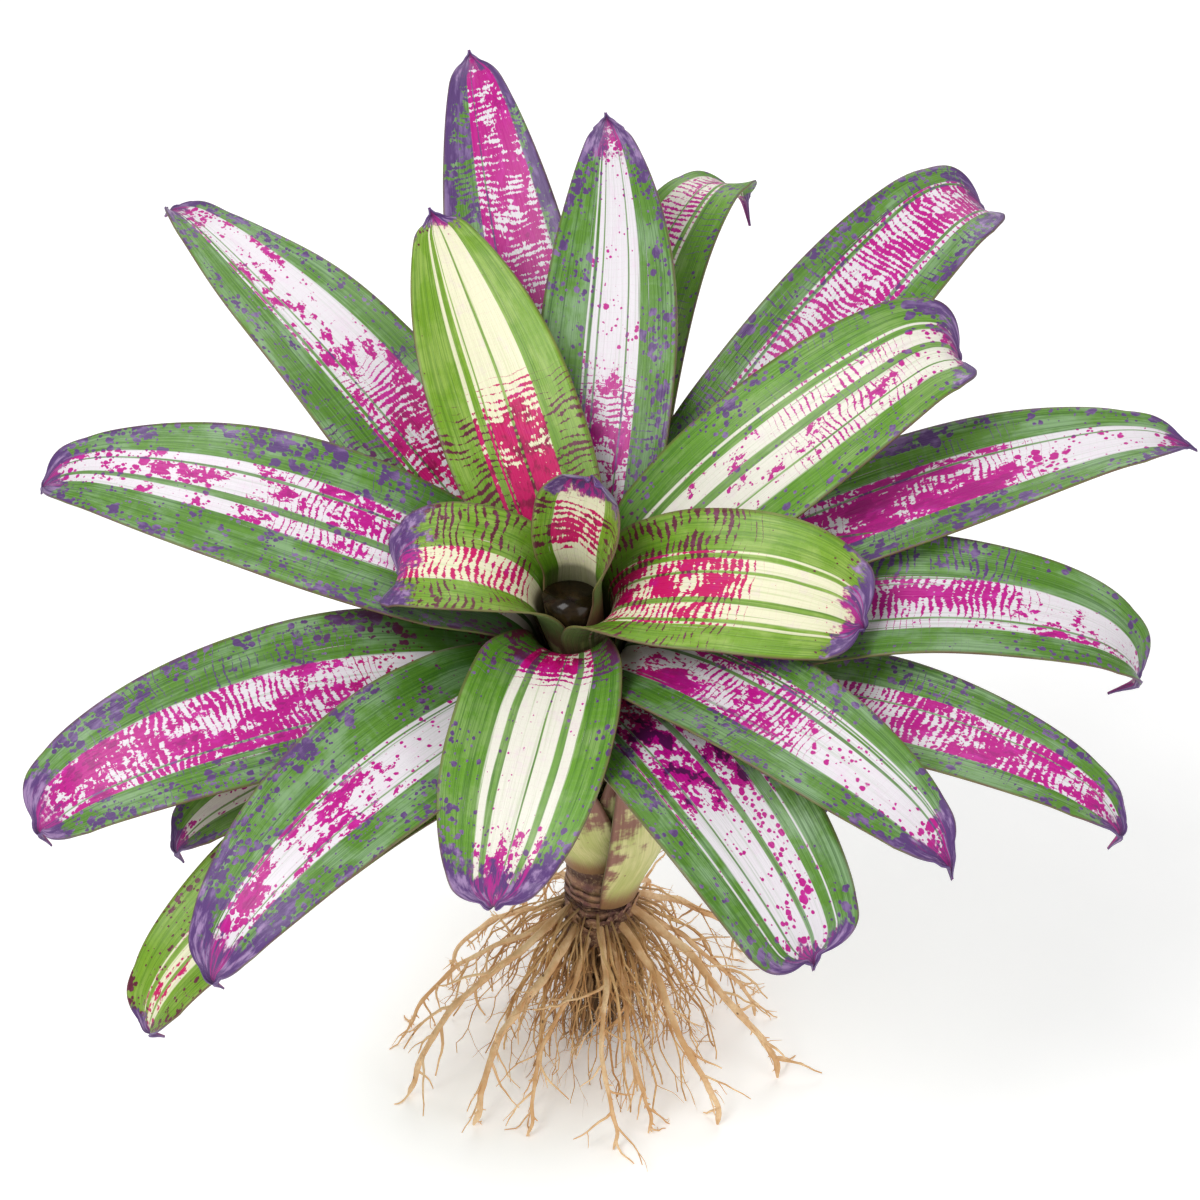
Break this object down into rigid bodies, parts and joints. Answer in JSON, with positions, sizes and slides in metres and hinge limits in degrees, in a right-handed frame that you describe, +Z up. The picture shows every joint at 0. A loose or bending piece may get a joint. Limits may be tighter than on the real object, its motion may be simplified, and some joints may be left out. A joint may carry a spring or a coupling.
{
  "type": "neoregelia bromeliad",
  "caption": "Bare-rooted bromeliad: a leaning rosette of long variegated strap leaves round a small water cup, on a short stem and a spreading fan of roots that it stands on.",
  "frame": {"origin": "on the surface that the roots stand on, straight below the foot of the stem", "axes": "+Z up; -Y towards the side that the rosette leans to, +X to the right seen from that side"},
  "size_m": [0.5178, 0.4031, 0.438],
  "materials": {
    "leaf": "satin, green margins round a white centre, spotted magenta",
    "stem": "rough, brown and scaly",
    "water": "clear dark water",
    "root": "matt, tan and fibrous",
    "fine_root": "matt, brown and fibrous"
  },
  "bodies": {
    "root": {"leaf_01": "leaf", "leaf_02": "leaf", "leaf_03": "leaf", "leaf_04": "leaf", "leaf_05": "leaf", "leaf_06": "leaf", "leaf_07": "leaf", "leaf_08": "leaf", "leaf_09": "leaf", "leaf_10": "leaf", "leaf_11": "leaf", "leaf_12": "leaf", "leaf_13": "leaf", "leaf_14": "leaf", "leaf_15": "leaf", "leaf_16": "leaf", "leaf_17": "leaf", "leaf_18": "leaf", "leaf_19": "leaf", "leaf_20": "leaf", "leaf_21": "leaf", "leaf_22": "leaf", "stem": "stem", "cup_water": "water", "root_01": "root", "root_02": "root", "root_03": "root", "root_04": "root", "root_05": "root", "root_06": "root", "root_07": "root", "root_08": "root", "root_09": "root", "root_10": "root", "root_11": "root", "root_12": "root", "root_13": "root", "fine_roots": "fine_root"}
  },
  "joints": []
}
